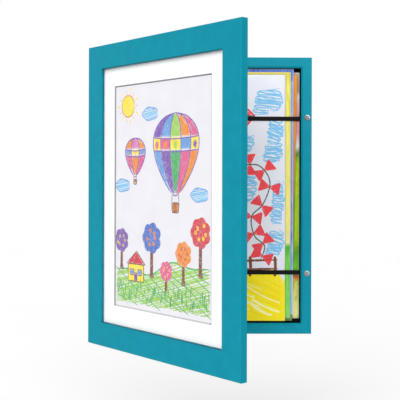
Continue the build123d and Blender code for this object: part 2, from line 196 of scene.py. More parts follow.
class Finish(Bench):  # one material, on object coordinates that may be moved
    def __init__(self, name, values, moved=Matrix()):
        self.values, self.material = values, bpy.data.materials.new(name)
        self.material.use_nodes = True
        super().__init__(self.material.node_tree)
        shift, turn = moved.to_translation(), moved.to_euler()
        spot = self.add("TexCoord", output="Object")
        self.spot = self.add("Mapping", {"Vector": spot, "Location": shift, "Rotation": turn})

    # The noises that the values name: their scale, detail and roughness, and how they are stretched
    def noises(self, *names):
        for name in names:
            scale, detail, rough, *stretch = self.values[name]
            spot = self.vector("MULTIPLY", self.spot, *stretch) if stretch else self.spot
            yield self.noise(spot, scale, detail, rough)

    def cells(self, scale):
        return self.add("TexVoronoi", {"Vector": self.spot, "Scale": scale})

    # Eases a value from one range to another. Noise mostly keeps between 0.3 and 0.7
    def eased(self, value, low=0.3, high=0.7, start=0.0, end=1.0):
        sockets = {"Value": value, "From Min": low, "From Max": high, "To Min": start, "To Max": end}
        return self.add("MapRange", sockets, {"interpolation_type": "SMOOTHSTEP"})

    def mix(self, share, first, second):
        return self.add("Mix", {0: share, 6: first, 7: second}, {"data_type": "RGBA"}, 2)

    # From one to the other of the two shades that the values name
    def toned(self, value, low=0.3, high=0.7, name="shades"):
        return self.mix(self.eased(value, low, high), *self.values[name])

    # Stops are a position and a shade
    def ramp(self, value, stops):
        wire = self.add("ValToRGB", {"Fac": value})
        elements = wire.socket.node.color_ramp.elements
        while len(elements) < len(stops):
            elements.new(1.0)
        for element, (position, *shade) in zip(elements, stops):
            element.position, element.color = position, linear(shade)
        return wire

    def bump(self, height, distance, strength):
        return self.add("Bump", {"Height": height, "Distance": distance, "Strength": strength}, output="Normal")

    def attribute(self, name, output="Fac"):
        return self.add("Attribute", None, {"attribute_name": name}, output)

    # The usual surface. Its skin is the depth and strength of its relief, and its gloss
    def coated(self, shade, uneven, relief, span=(0.3, 0.7), more=()):
        depth, strength, gloss = self.values["skin"]
        rough = self.eased(uneven, *span, *self.values["rough"])
        return self.shaded(self.add("BsdfPrincipled", {
            "Base Color": shade, "Roughness": rough, "Normal": self.bump(relief, depth, strength),
            "Specular IOR Level": gloss, **dict(more)}))

    def shaded(self, shader):
        self.add("OutputMaterial", {"Surface": shader})
        return self.material


# Soft light all round, a wide lamp from the front and a weak one from the left. The white behind gives no light
studio = {
    "ambient": 0.43,
    "lamps": [((-0.12, -0.88, 0.40), 2.10, 45), ((-0.85, -0.45, 0.30), 0.38, 60)],
    "floorShades": ((243, 243, 243), (247, 247, 247)),
    "floorMottle": (3.0, 2.0, 0.5),
    "floorDrop": 0.22,
    "floorSize": 60,
    "floorGlow": 0.32,
}
white = (255, 255, 255)


def lightStudio(values):
    world = bpy.data.worlds.new("studio")
    world.use_nodes = True
    bpy.context.scene.world = world
    bench = Bench(world.node_tree)
    ray = bench.add("LightPath")
    seen = ray.other("Is Camera Ray").above(ray.other("Is Glossy Ray")).above(ray.other("Is Transmission Ray"))
    around, behind = (bench.add("Background", {"Color": white, "Strength": strength})
                      for strength in (values["ambient"], 1))
    bench.add("OutputWorld", {"Surface": bench.add("MixShader", {0: seen, 1: around, 2: behind})})
    for source, strength, spread in values["lamps"]:
        lamp = linked("softLamp", bpy.data.lights.new("softLamp", "SUN"))
        lamp.data.energy, lamp.data.angle = strength, radians(spread)
        lamp.rotation_euler = Vector(source).to_track_quat("Z", "Y").to_euler()


def layFloor(values):
    half, height = values["floorSize"] / 2, cadBox[0].z - values["floorDrop"]
    mesh = bpy.data.meshes.new("floor")
    ends = [(-half, -half, height), (half, -half, height), (half, half, height), (-half, half, height)]
    mesh.from_pydata(ends, [], [(0, 1, 2, 3)])
    finish = Finish("palePaper", values)
    pale = finish.add("BsdfDiffuse", {"Color": finish.mix(*finish.noises("floorMottle"), *values["floorShades"])})
    glow = finish.add("Emission", {"Color": white, "Strength": finish.add("LightPath") * values["floorGlow"]})
    mesh.materials.append(finish.shaded(finish.add("AddShader", {0: pale, 1: glow})))
    linked("floor", mesh)


lightStudio(studio)
layFloor(studio)
print("studio lit")


def dress(names, material):
    for name in names:
        for slot in nodes[name].material_slots:
            slot.material = material


# The pieces whose surface the record names so
def made(slot):
    return [name for name in nodes if nodes[name].material_slots[0].material.name == slot]


# Satin teal paint over wood, with the grain just showing, hairline mitres, edges lighter where they are partly rubbed
# and partly given a painted highlight, and painted shade in the door moulding's inner edge
tealPaint = {
    "shades": ((0, 138, 160), (4, 146, 168)),
    "mottle": (70, 4.0, 0.6),
    "grain_stile": (900, 3.0, 0.6, (1, 1, 0.016)),
    "grain_rail": (900, 3.0, 0.6, (0.016, 1, 1)),
    "peel": (1500, 1.0, 0.5),
    "rubbed": ((84, 196, 214), 0.16),
    "rubbedWidth": 0.0009,
    "rubbedPatches": (160, 3.0, 0.7),
    "joint": ((14, 92, 108), 0.55),
    "jointWidth": 0.00016,
    # Painted shade in the door moulding's inner edge, where it turns in towards the mat
    "lip": ((0, 92, 107), 0.9),
    "lipInset": {"door_": 32 * mm},
    "lipWidth": (0.0014, 0.0002),
    "lipDepth": {"_stile": (-0.0012, 0.0056), "_rail": (-0.0004, 0.0)},
    "rough": (0.40, 0.54),
    "skin": (0.00003, 0.6, 0.11),
}


def paintedWood(body, ending, fromMiddleOf, low, high, values):
    moved = Matrix.Translation((-(low.x + high.x) / 2, 0, 0)) @ fromMiddleOf
    finish = Finish("tealPaint" + body[:-1].title() + ending, values, moved)
    across, depth, up = finish.apart(finish.spot)
    grain, peel, mottle, patches = finish.noises("grain" + ending, "peel", "mottle", "rubbedPatches")
    shade = finish.toned(mottle * 0.75 + grain * 0.25)
    sideways, endways = abs(across) - (high.x - low.x) / 2, abs(up) - (high.z - low.z) / 2
    outward, deep = sideways.above(endways), depth - low.y

    def overlaid(mask, part):
        paint, share = values[part]
        return finish.mix(mask * share, shade, paint)

    # Along the front arris the paint is lighter: partly rubbed wear, partly a painted highlight
    edge = finish.eased(outward - deep, -values["rubbedWidth"], 0.0)
    shade = overlaid(edge * finish.eased(patches, 0.40, 0.72), "rubbed")
    joint = finish.eased(abs(sideways - endways), values["jointWidth"], 0.0)
    shade = overlaid(joint, "joint")
    inset = values["lipInset"].get(body)
    if inset:  # painted shade in the moulding's inner edge, deeper in towards the mat on the stiles
        lip = finish.eased(outward + inset, *values["lipWidth"])
        shade = overlaid(lip * finish.eased(deep, *values["lipDepth"][ending]), "lip")
    return finish.coated(shade, grain * 0.5 + mottle * 0.5, peel * 0.5 + grain * 0.8 - joint * 2.0)


for body, fromMiddleOf, low, high in (("box_", boxFromMiddle, boxLow, boxHigh),
                                      ("door_", doorFromMiddle, doorLow, doorHigh)):
    for ending in ("_stile", "_rail"):
        paint = paintedWood(body, ending, fromMiddleOf, low, high, tealPaint)
        dress([name for name in railsOf(body) if name.endswith(ending)], paint)
print("wood painted")


# White mat board. Its window's cut bevel is given painted shade: grey, and darker still where the cut is turned away
# from the light
matBoard = {
    "shades": ((251, 251, 251), (255, 255, 255)),
    "bevelPaintedShade": ((196, 196, 200), (142, 142, 148)),
    "bevelHalf": (0.0995, 0.144),
    "bevelEdge": (0.00002, -0.00008),
    "turnedAway": (0.97, 0.98),
    "fibre": (1500, 3.0, 0.7),
    "clouds": (30, 3.0, 0.5),
    "rough": (0.8, 0.95),
    "skin": (0.00004, 0.5, 0.1),
}


def matFinish(values):
    finish = Finish("matBoard", values, doorMiddle)
    across, _, up = finish.apart(finish.spot)
    half = values["bevelHalf"]
    inside = (abs(across) - half[0]).above(abs(up) - half[1])
    turned = (abs(across) / half[0]).above(up / half[1])
    fibre, clouds = finish.noises("fibre", "clouds")
    shade = finish.toned(clouds * 0.6 + fibre * 0.4)
    # painted shade on the cut bevel
    cut = finish.toned(turned, *values["turnedAway"], "bevelPaintedShade")
    shade = finish.mix(finish.eased(inside, *values["bevelEdge"]), shade, cut)
    return finish.coated(shade, fibre, fibre)


greyChipboard = {
    "shades": ((128, 122, 112), (160, 153, 140)),
    "pulp": (240, 4.0, 0.7),
    "dark": (92, 86, 80),
    "flecks": (900, 2.0, 0.5, (1, 1, 0.4)),
    "rough": (0.85, 0.97),
    "skin": (0.00006, 0.7, 0.15),
}


def chipboardFinish(values):
    finish = Finish("greyChipboard", values)
    pulp, flecks = finish.noises("pulp", "flecks")
    flecks = finish.eased(flecks, 0.64, 0.7)
    shade = finish.toned(pulp, 0.35, 0.65)
    return finish.coated(finish.mix(flecks * 0.7, shade, values["dark"]), pulp, pulp - flecks)


# Brown hardboard with a black face, which is all that lies in front of one plane
facedHardboard = {
    "black": ((14, 14, 14), (30, 30, 29)),
    "brown": ((96, 66, 42), (130, 94, 62)),
    "facePlane": (-0.0044, -0.0046),
    "mesh": 520,
    "fibre": (700, 4.0, 0.7),
    "rough": (0.55, 0.85),
    "skin": (0.00012, 0.7, 0.2),
}


def hardboardFinish(values):
    finish = Finish("facedHardboard", values)
    mesh, (fibre,) = finish.cells(values["mesh"]), finish.noises("fibre")
    black = finish.toned(fibre, name="black")
    brown = finish.toned(fibre * 0.6 + mesh * 0.6, 0.3, 0.8, "brown")
    face = finish.eased(finish.apart(finish.spot)[1], *values["facePlane"])
    return finish.coated(finish.mix(face, brown, black), fibre, mesh * 0.6 + fibre * 0.4)


# Metals: a bright and a dull shade, the scale and stretch of the brushing, and the roughness
metals = {
    "nickelled_magnet": ("satinNickel", (134, 136, 138), (110, 112, 114), 420, (1, 1, 1), (0.36, 0.52)),
    "strike_steel": ("strikeSteel", (196, 197, 198), (164, 164, 166), 420, (1, 1, 1), (0.26, 0.42)),
    "hinge_steel": ("brushedNickel", (190, 190, 190), (156, 156, 158), 900, (1, 1, 0.03), (0.24, 0.40)),
    "brassed_steel": ("dullBrass", (204, 170, 96), (150, 116, 60), 700, (0.06, 1, 1), (0.28, 0.50)),
    "zinc_plated_steel": ("zincPlate", (198, 202, 206), (164, 168, 176), 260, (1, 1, 1), (0.26, 0.44)),
    "fastener_steel": ("fastenerSteel", (182, 182, 184), (138, 138, 142), 800, (1, 1, 1), (0.28, 0.48)),
}
metalSkin = {"patches": (140, 3.0, 0.5), "skin": (0.00003, 0.6, 0.5)}


def metalFinish(name, *look):
    *shades, scale, stretch, rough = look
    finish = Finish(name, {**metalSkin, "shades": shades, "rough": rough, "brushing": (scale, 4.0, 0.65, stretch)})
    brushing, patches = finish.noises("brushing", "patches")
    pits = finish.eased(finish.cells(scale * 1.7), 0.16, 0.04)
    shade = finish.toned(patches * 0.5 + brushing * 0.5, 0.35, 0.65)
    return finish.coated(shade, brushing * 0.6 + patches * 0.4, brushing - pits * 0.4, more={"Metallic": 1.0})


dress(made("white_mat_board"), matFinish(matBoard))
dress(made("grey_board"), chipboardFinish(greyChipboard))
dress(made("black_faced_board"), hardboardFinish(facedHardboard))
for slotName, metal in metals.items():
    dress(made(slotName), metalFinish(*metal))
print("boards and metals dressed")


# A Geometry Nodes tree whose inputs are the named sizes that a user may change: those with a capital
class Pattern(Bench):
    family = "GeometryNode"

    def __init__(self, name, sizes, *vectors):
        super().__init__(bpy.data.node_groups.new(name, "GeometryNodeTree"))
        sizes = {label: size for label, size in sizes.items() if label[0].isupper()}
        kinds = {**dict.fromkeys(vectors, "Vector"), **dict.fromkeys(sizes, "Float"), "Material": "Material"}
        self.tree.interface.new_socket("Geometry", in_out="OUTPUT", socket_type="NodeSocketGeometry")
        for label, kind in {"Geometry": "Geometry", **kinds}.items():
            socket = self.tree.interface.new_socket(label, in_out="INPUT", socket_type="NodeSocket" + kind)
            if label in sizes:
                socket.default_value = sizes[label]
        self.given = self.add("NodeGroupInput")

    def __getitem__(self, label):
        return self.given.other(label)

    def named(self, name):
        return self.add("InputNamedAttribute", {"Name": name}, {"data_type": "FLOAT"})

    def stored(self, geometry, name, value):
        return self.add("StoreNamedAttribute", {"Geometry": geometry, "Name": name, "Value": value})

    def moved(self, geometry, socket, value):
        return self.add("SetPosition", {"Geometry": geometry, socket: value})

    # A curve cut into even steps, which knows how far along it each point lies
    def line(self, curve):
        curve = self.add("ResampleCurve", {"Curve": curve, "Length": self["Step"]}, {"mode": "LENGTH"})
        curve = self.add("SetCurveNormal", {"Curve": curve}, {"mode": "Z_UP"})
        along = self.add("SplineParameter")
        return self.stored(curve, "along", along.other("Length")), along

    def rounded(self, curve, count, radius, more=()):
        sockets = {"Curve": curve, "Count": count, "Radius": radius, **dict(more)}
        return self.add("FilletCurve", sockets, {"mode": "POLY"})

    def oblong(self, width, height):
        return self.add("CurvePrimitiveQuadrilateral", {"Width": width, "Height": height})

    def swept(self, curve, profile, **more):
        return self.add("CurveToMesh", {"Curve": curve, "Profile Curve": profile, "Fill Caps": True, **more})

    def result(self, geometry, smooth=True):
        sockets = {"Geometry": geometry, "Shade Smooth": smooth}
        real = self.add("RealizeInstances", {"Geometry": self.add("SetShadeSmooth", sockets)})
        real = self.add("SetMaterial", {"Geometry": real, "Material": self["Material"]})
        self.add("NodeGroupOutput", {"Geometry": real})
        return self.tree


# Gives a piece the mesh that its modifiers make, and takes them off
def settled(piece):
    drawn = bpy.context.evaluated_depsgraph_get()
    seen = piece.evaluated_get(drawn)
    mesh = bpy.data.meshes.new_from_object(seen, preserve_all_data_layers=True, depsgraph=drawn)
    piece.modifiers.clear()
    piece.data = mesh
    return piece


# Runs a tree on a starting mesh, with its inputs set by their identifiers
def grown(name, tree, start, values):
    piece = linked(name, start)
    modifier = piece.modifiers.new("pattern", "NODES")
    modifier.node_group = tree
    for item in tree.interface.items_tree:
        if item.in_out == "INPUT" and item.name in values:
            modifier[item.identifier] = values[item.name]
    return settled(piece)


def finished(piece, body, slot, *replaced):
    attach(piece, body)
    if replaced:
        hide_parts(*replaced)


# The clear pane: eased edges, and a hair of air around it. It mirrors at a slant, blurred by faint wiping marks
glazingPane = {
    "slack": 0.05,
    "edge": 0.15,
    "wiping": (26, 4.0, 0.6, (1, 1, 0.3)),
    "blur": (0.03, 0.16),
    "relief": (0.00002, 0.2),
    "mirror": (0.5, 5, 0.01),
}


def glazingFinish(values):
    finish = Finish("clearGlazing", values)
    wiping, = finish.noises("wiping")
    clear = finish.add("BsdfTransparent", {"Color": white})
    mirror = finish.add("BsdfGlossy", {"Color": white, "Roughness": finish.eased(wiping, 0.4, 0.7, *values["blur"]),
                                       "Normal": finish.bump(wiping, *values["relief"])})
    slant = finish.add("LayerWeight", {"Blend": 0.5}, output="Facing")
    outside = 1 - finish.add("NewGeometry", output="Backfacing")
    most, steepness, least = values["mirror"]
    share = (slant ** steepness * most + least) * outside
    return finish.shaded(finish.add("MixShader", {0: share, 1: clear, 2: mirror}))


def setPane(values):
    low, high = corners(["glazing_sheet"], shut)
    slack = Vector((1, 1, 1)) * values["slack"] * mm
    size = Matrix.Diagonal((*(high - low - 2 * slack), 1))
    mesh = bpy.data.meshes.new("pane")
    block = bmesh.new()
    bmesh.ops.create_cube(block, matrix=Matrix.Translation((low + high) / 2) @ size)
    block.to_mesh(mesh)
    block.free()
    piece = linked("glazing_pane", mesh)
    edge = piece.modifiers.new("easedEdge", "BEVEL")
    edge.width, edge.segments = values["edge"] * mm, 2
    settled(piece).data.transform(opened)
    piece.data.materials.append(glazingFinish(values))
    finished(piece, "door", "clear_glazing", "glazing_sheet")


setPane(glazingPane)


# The two magnets: nickelled discs with a dished face and a rolled rim. The rim has a painted highlight towards the
# upper right, the upper disc's colour is darkened as painted shade and the lower one's is brightened as painted light
magnetDiscs = {
    "dish": 0.12,
    "dishShare": 0.66,
    "bend": ((0.8, 1), (1, 0.7), (1.08, 0)),
    "rim": 0.45,
    "rimSteps": 5,
    "turns": 64,
    # painted shade on the upper disc and painted light on the lower one, by scaling their colours
    "tarnish": {"upper": 0.72, "lower": 1.12},
    "rubbed": ((196, 200, 202), 0.95),
    "rubbedFrom": (0.56, 0.74),
    "rubbedTowards": (0.64, 0.77),
    "patches": (140, 3.0, 0.5),
    "skin": (0.00002, 0.5, 0.5),
}


# A closed disc about the Y axis, from the radius and depth of each step of its outline
def turnedDisc(outline, turns):
    mesh = bpy.data.meshes.new("disc")
    disc = bmesh.new()
    angles = [tau * n / turns for n in range(turns)]
    rings = []
    for radius, depth in outline:
        ring = [disc.verts.new((radius * cos(angle), depth, radius * sin(angle)))
                for angle in (angles if radius else angles[:1])]
        rings.append(ring if radius else ring * turns)
    for ring, following in zip(rings, rings[1:]):
        for n in range(turns):
            disc.faces.new(list(dict.fromkeys((ring[n], ring[n - 1], following[n - 1], following[n]))))
    bmesh.ops.recalc_face_normals(disc, faces=disc.faces)
    disc.to_mesh(mesh)
    disc.free()
    return mesh


def magnetFinish(side, centre, radius, values):
    _, bright, dull, scale, _, rough = metals["nickelled_magnet"]
    finish = Finish("satinNickel_" + side, {**values, "rough": rough}, Matrix.Translation(-centre))
    across, depth, up = finish.apart(finish.spot)
    out = (across * across + up * up).root()
    right, above = values["rubbedTowards"]
    lean = (across * right + up * above) / out.above(0.1 * mm)
    turning = finish.noise(finish.joined(out * 9, depth), scale, 3.0, 0.6)
    patches, = finish.noises("patches")
    start, end = values["rubbedFrom"]
    # painted highlight on the rim, towards the upper right, broken up by patches
    rubbed = finish.eased(out, radius * start, radius * end) * finish.eased(lean + patches * 0.3, 0.2, 0.9)
    # the upper disc darkened as painted shade, the lower one brightened as painted light
    bright, dull = (linear(shade, values["tarnish"][side]) for shade in (bright, dull))
    shade = finish.mix(finish.eased(patches * 0.5 + turning * 0.5, 0.35, 0.65), bright, dull)
    shine, share = values["rubbed"]
    shade = finish.mix(rubbed * share, shade, shine)
    return finish.coated(shade, turning * 0.6 + patches * 0.4, turning, more={"Metallic": 1.0})


def setMagnets(values):
    for side in ("upper", "lower"):
        low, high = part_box("latch_magnet_" + side)
        radius, rim, thick = (high.x - low.x) / 2, values["rim"] * mm, high.y - low.y
        dish, reach = values["dish"] * mm, radius * values["dishShare"]
        turns = [radians(90) * n / values["rimSteps"] for n in range(values["rimSteps"] + 1)]
        rolled = [(radius - rim * (1 - sin(turn)), rim * (1 - cos(turn))) for turn in turns]
        bent = [(reach * out, dish * deep) for out, deep in values["bend"]]
        outline = [(0, dish), *bent, *rolled, (radius, thick), (0, thick)]
        centre = Vector(((low.x + high.x) / 2, low.y, (low.z + high.z) / 2))
        piece = linked("magnet_disc_" + side, turnedDisc(outline, values["turns"]))
        piece.data.transform(Matrix.Translation(centre))
        piece.data.materials.append(magnetFinish(side, centre, radius, values))
        finished(piece, "box", "nickelled_magnet", "latch_magnet_" + side)


setMagnets(magnetDiscs)


# Felt along the four walls of the well: soft lumps and a rounded edge
feltLining = {
    "Step": 0.0011,
    "Round": 0.0004,
    "Nap": 0.00035,
    "Nap size": 420.0,
    "Seed": 3.0,
    "shades": ((2, 2, 2), (18, 18, 18)),
    "nap": (1300, 4.0, 0.75),
    "matting": (160, 3.0, 0.5),
    "rough": (1.0, 0.85),
    "skin": (0.0003, 0.8, 0.05),
}


def feltFinish(values):
    finish = Finish("blackFelt", values)
    nap, matting = finish.noises("nap", "matting")
    shade = finish.toned(nap * 0.7 + matting * 0.3, 0.35, 0.75)
    return finish.coated(shade, nap, nap + matting)


def feltTree(values):
    pattern = Pattern("nappedFelt", values, "Size")
    counts = {"Vertices " + axis: round(part / pattern["Step"]).above(1) + 1
              for axis, part in zip("XYZ", pattern.apart(pattern["Size"]))}
    felt = pattern.add("MeshCube", {"Size": pattern["Size"], **counts})
    spot = pattern.add("InputPosition")
    half = pattern.vector("SCALE", pattern["Size"], 0.5)
    core = pattern.vector("SUBTRACT", half, pattern.joined(*[pattern["Round"]] * 3))
    inner = pattern.vector("MINIMUM", pattern.vector("MAXIMUM", spot, pattern.vector("SCALE", core, -1.0)), core)
    out = pattern.vector("NORMALIZE", pattern.vector("SUBTRACT", spot, inner))
    lumps = pattern.noise(spot, pattern["Nap size"], seed=pattern["Seed"])
    out = pattern.vector("SCALE", out, pattern["Round"] - lumps * pattern["Nap"])
    return pattern.result(pattern.moved(felt, "Position", pattern.vector("ADD", inner, out)))


def lineWell(values):
    tree, material = feltTree(values), feltFinish(values)
    for number, node in enumerate(made("black_felt")):
        low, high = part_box(node)
        inputs = {**values, "Size": high - low, "Seed": values["Seed"] + number, "Material": material}
        piece = grown("felt_" + node, tree, bpy.data.meshes.new("felt"), inputs)
        piece.data.transform(Matrix.Translation((low + high) / 2))
        finished(piece, "box", "black_felt", node)


lineWell(feltLining)
print("pane set and well lined")


# Each stroke is a line that becomes a thin flat ridge of wax, uneven and thinner at its ends
def strokeTree(values):
    pattern = Pattern("waxStrokes", values)
    line, along = pattern.line(pattern.add("MeshToCurve", {"Mesh": pattern.given}))
    line = pattern.moved(line, "Offset", pattern.joined(z=pattern.named("layer") * pattern["Layer rise"]))
    spot = pattern.add("InputPosition")
    uneven = pattern.noise(spot, 260.0, 1.0, seed=pattern["Seed"])
    taper = (along * 9.0 + 0.35).below((1 - along) * 9.0 + 0.35).below(1.0)
    width = pattern.named("width") * taper * (1 + (uneven - 0.5) * pattern["Unevenness"])
    profile = pattern.stored(pattern.oblong(1.0, pattern["Relief"]), "across", pattern.apart(spot)[0])
    return pattern.result(pattern.swept(line, profile, Scale=width), False)


# A smooth path through some points
def smoothed(points, count=8):
    path = []
    for n in range(len(points) - 1):
        a, b, c, d = (Vector(points[max(0, min(len(points) - 1, n + k))]) for k in (-1, 0, 1, 2))
        for t in [step / count for step in range(count)]:
            path.append(0.5 * (2 * b + (c - a) * t + (2 * a - 5 * b + 4 * c - d) * t * t
                               + (3 * b - 3 * c + d - a) * t ** 3))
    return path + [Vector(points[-1])]


class Drawing:  # strokes on a page, in millimetres from its middle
    def __init__(self, seed):
        self.chance = random.Random(seed)
        self.strokes = []

    def near(self, value, spread):
        return value + self.chance.uniform(-spread, spread)

    def line(self, points, pencil, width, layer, closed=False):
        self.strokes.append(([Vector(point) for point in points], pencil, width, layer, closed))

    # Strokes side by side across an outline. Zigzag joins them into one scribble
    def fill(self, outline, pencil, width, degrees, layer, gap, wander=0.5, zigzag=False):
        turn = Matrix.Rotation(radians(degrees), 2)
        edge = [turn.inverted() @ Vector(point) for point in outline]
        height = min(point.y for point in edge) + width * 0.5
        top = max(point.y for point in edge) - width * 0.3
        way, joined = 1, []
        while height < top:
            sides = zip(edge, edge[1:] + edge[:1])
            hits = sorted(a.x + (b.x - a.x) * (height - a.y) / (b.y - a.y)
                          for a, b in sides if (a.y > height) != (b.y > height))
            for left, right in zip(hits[::2], hits[1::2]):
                if right - left < width:
                    continue
                start, end = (Vector((self.near(x, wander * 0.5), self.near(height, wander * 0.3)))
                              for x in (left + width * 0.35, right - width * 0.35))
                middle = (start + end) / 2 + Vector((0, self.near(0, wander * 0.5)))
                path = [turn @ point for point in (start, middle, end)][::way]
                way = -way
                if zigzag:
                    joined += path
                else:
                    self.line(path, pencil, self.near(width, width * 0.15), layer + len(self.strokes) % 3)
            height += width * gap * self.near(1, 0.25)
        if joined:
            self.line(smoothed(joined, 5), pencil, width, layer)

    # Colours an outline in, one fill over another, and draws round it. Fills and edges begin with a pencil, a width
    def patch(self, outline, fills, *edges):
        for values in fills:
            self.fill(outline, *values)
        for edge in edges:
            self.line(outline, *edge, closed=True)

    # Turns the strokes into one piece: place puts the page's plane where the paper is
    def made(self, name, place, material, values):
        mesh = bpy.data.meshes.new(name)
        points, edges, widths, layers, pigments = [], [], [], [], []
        for path, pencil, width, layer, closed in self.strokes:
            first, count = len(points), len(path)
            tone = self.near(1, values["tone"])
            page = [half - width * 0.6 for half in values["page"]]  # no stroke leaves the paper
            points += [(*[max(-half, min(half, part)) * mm for part, half in zip(point, page)], 0) for point in path]
            edges += [(first + n, first + (n + 1) % count) for n in range(count if closed else count - 1)]
            widths += [width * mm] * count
            layers += [float(layer)] * count
            pigments += (*[min(1, part * tone) for part in linear(pencils[pencil])[:3]], 1.0) * count
        mesh.from_pydata(points, edges, [])
        for label, kind, field, numbers in (("width", "FLOAT", "value", widths), ("layer", "FLOAT", "value", layers),
                                            ("pigment", "FLOAT_COLOR", "color", pigments)):
            mesh.attributes.new(label, kind, "POINT").data.foreach_set(field, numbers)
        piece = grown(name, waxStrokes, mesh, {**values, "Material": material})
        piece.data.transform(place)
        return piece


def circle(x, y, radius, tall=1.0, count=20):
    turns = [tau * n / count for n in range(count)]
    return [(x + radius * cos(turn), y + radius * tall * sin(turn)) for turn in turns]


# A shape placed on the page and stretched
def shaped(shape, x, y, wide, tall):
    return [(x + a * wide, y + b * tall) for a, b in shape]


# Pencils and crayons
pencils = {
    "plum": (126, 88, 176), "sky": (108, 160, 220), "navy": (78, 116, 200), "azure": (130, 202, 244),
    "scarlet": (246, 72, 80), "lime": (160, 208, 84), "leaf": (72, 176, 96), "moss": (40, 150, 84),
    "sun": (252, 228, 52), "orange": (236, 144, 50), "rose": (224, 98, 146), "red": (210, 60, 76),
    "pink": (226, 132, 190), "bark": (126, 74, 48), "ice": (118, 194, 236), "stem": (66, 92, 84),
    "lemon": (254, 232, 4), "straw": (254, 242, 118), "cream": (255, 248, 176),
}


# Pigment rubbed over the tooth of the paper: thinner where the tooth is low and along each stroke
def waxFinish(name, paper, values):
    finish = Finish(name, values)
    tooth, = finish.noises("tooth")
    along, across = finish.attribute("along"), finish.attribute("across")
    drag = finish.noise(finish.joined(along * values["drag"], across * values["lines"], along * 40), 1.0)
    bare = values["bare"]
    cover = finish.eased(tooth * 0.65 + drag * 0.35, bare - 0.09, bare + 0.09)
    shade = finish.mix(cover, paper, finish.attribute("pigment", "Color"))
    return finish.coated(shade, cover, tooth + drag * 0.5, (0, 1))


# Sheets of paper: fibres, faint cloudiness and a little tooth
paperWhites = {"display": (238, 237, 243), "stored": (240, 243, 253), "packed": (232, 231, 226)}
plainPaper = {
    "cloud": 0.06,
    "fibre": (1400, 4.0, 0.7),
    "clouds": (45, 3.0, 0.5),
    "rough": (0.82, 0.95),
    "skin": (0.00003, 0.5, 0.15),
}


def paperFinish(name, white, values, overlaid=None):
    finish = Finish(name, values)
    fibre, clouds = finish.noises("fibre", "clouds")
    shades = linear(white, 1 - values["cloud"]), white
    shade = finish.mix(finish.eased(clouds * 0.5 + fibre * 0.5), *shades)
    if overlaid:
        mask, paint = overlaid(finish, clouds)
        shade = finish.mix(mask, shade, paint)
    return finish.coated(shade, fibre, fibre)


# The picture in the door: balloons over a village on a hill, in coloured pencil
displayPicture = {
    "seed": 11,
    "balloons": [
        {"middle": (30, 60), "radius": 43, "drop": 98, "mouth": 6,
         "shares": [-1, -0.66, -0.24, 0.24, 0.66, 1],
         "tops": ["plum", "sky", "lime", "orange", "rose"],
         "bands": ["sun", "rose", "sun", "sky", "sun"],
         "skirts": ["sky", "plum", "leaf", "rose", "orange"]},
        {"middle": (-54, 54), "radius": 21, "drop": 48, "mouth": 3,
         "shares": [-1, -0.4, 0.4, 1],
         "tops": ["orange", "pink", "orange"], "bands": ["sky", "sun", "sky"],
         "skirts": ["rose", "orange", "rose"]},
    ],
    "levels": [0.0, 0.30, 0.46, 1.0],
    "bulge": (0.66, 0.8),
    "sag": 2.5,
    "windows": (0.38, 1.5, 0.1, 1.3),
    "sun": (-70, 116, 14, 14),
    "rayStart": (1.2, 1.35),
    "rays": [(1.5, "orange"), (1.75, "sun")],
    "clouds": [(-22, 104), (-82, 14), (76, 4)],
    "cloud": (17, 5, 0.5),
    "trees": [(-84, -94, 22, 15, "plum", "sun"), (-18, -100, 30, 19, "navy", "orange"),
              (12, -116, 14, 12, "rose", "sun"), (78, -92, 34, 18, "red", "sun"), (46, -104, 22, 15, "orange", "red")],
    "house": (-52, -108, 17, 22),
    "wall": [(-1, 0), (1, 0), (1, 1), (-1, 1)],
    "roof": [(-1.2, 1), (1.2, 1), (0.1, 1.75)],
    "panes": [(-0.75, 0.35, 0.5, 0.35, "sky"), (0.25, 0.35, 0.5, 0.35, "sky"), (-0.18, 0.0, 0.34, 0.5, "plum")],
    "basket": [(-1, 0), (1, 0), (0.8, -1.6), (-0.8, -1.6)],
    "basketSize": (0.17, 0.26),
    "hill": (-88, 9, 34, 4, 13),
    "crest": (-96, 97, 6),
    "foot": [(97, -136), (-97, -137)],
    "blades": (-94, 96, 2),
    "grass": ["lime", "leaf", "leaf", "moss"],
    "widths": (1.7, 1.6, 1.5),
    "strokes": {"Step": 0.0025, "Relief": 0.03, "Layer rise": 0.000008, "Unevenness": 0.6, "Seed": 4.0, "tone": 0.08,
                "page": (104.8, 148.3)},
    "wax": {"tooth": (1300, 3.0, 0.65), "drag": 260, "lines": 3.0, "bare": 0.41, "rough": (0.85, 0.6),
            "skin": (0.00004, 0.7, 0.2)},
}
waxStrokes = strokeTree(displayPicture["strokes"])


